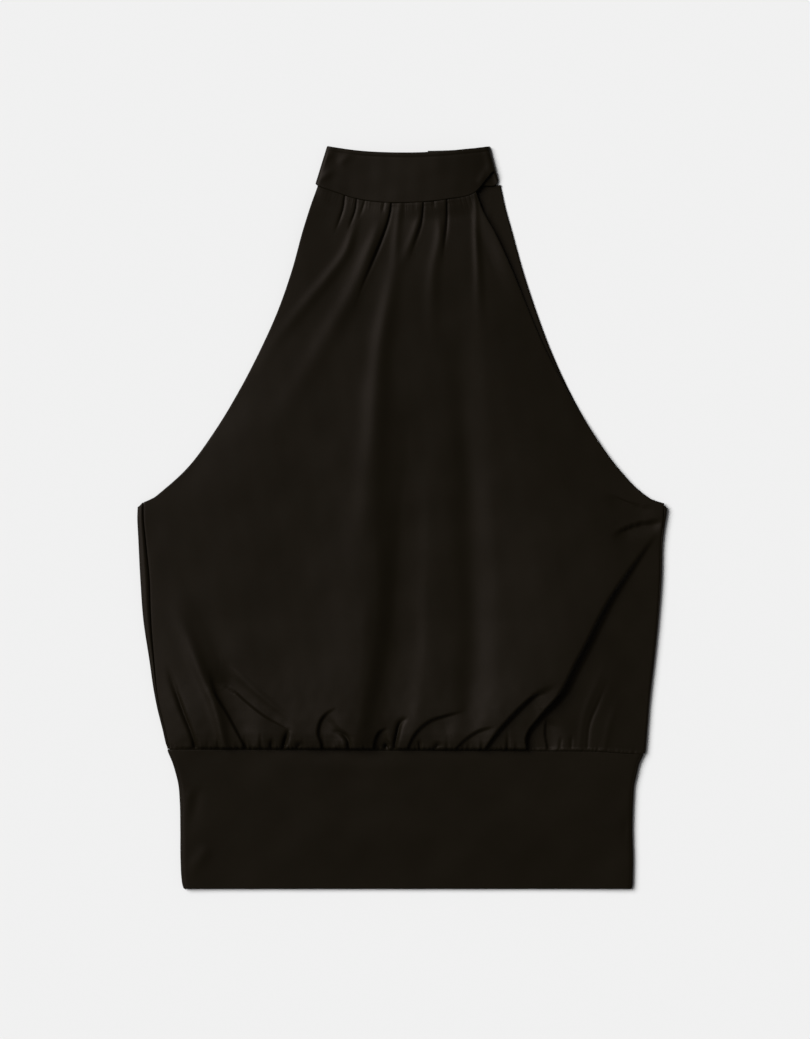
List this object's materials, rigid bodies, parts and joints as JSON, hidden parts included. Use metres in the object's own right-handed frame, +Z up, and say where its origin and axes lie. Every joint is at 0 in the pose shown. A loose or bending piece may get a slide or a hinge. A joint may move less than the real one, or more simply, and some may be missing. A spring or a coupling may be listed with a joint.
{
  "type": "choker neck top",
  "caption": "Sleeveless halter top with a high choker neckband, gathered body and wide smooth waistband, laid flat with its front up",
  "frame": {"origin": "centre of the bounding box's underside, on the surface that the top lies on", "axes": "+X across the top to the picture's right, +Y from the waist hem to the neck, +Z up from the surface"},
  "size_m": [0.4514, 0.6318, 0.01],
  "materials": {
    "crepe": "soft sheen",
    "button": "polished"
  },
  "bodies": {
    "root": {"front_panel": "crepe", "back_panel": "crepe", "neckband": "crepe", "waistband_front": "crepe", "waistband_back": "crepe", "button_upper": "button", "button_lower": "button"}
  },
  "joints": []
}
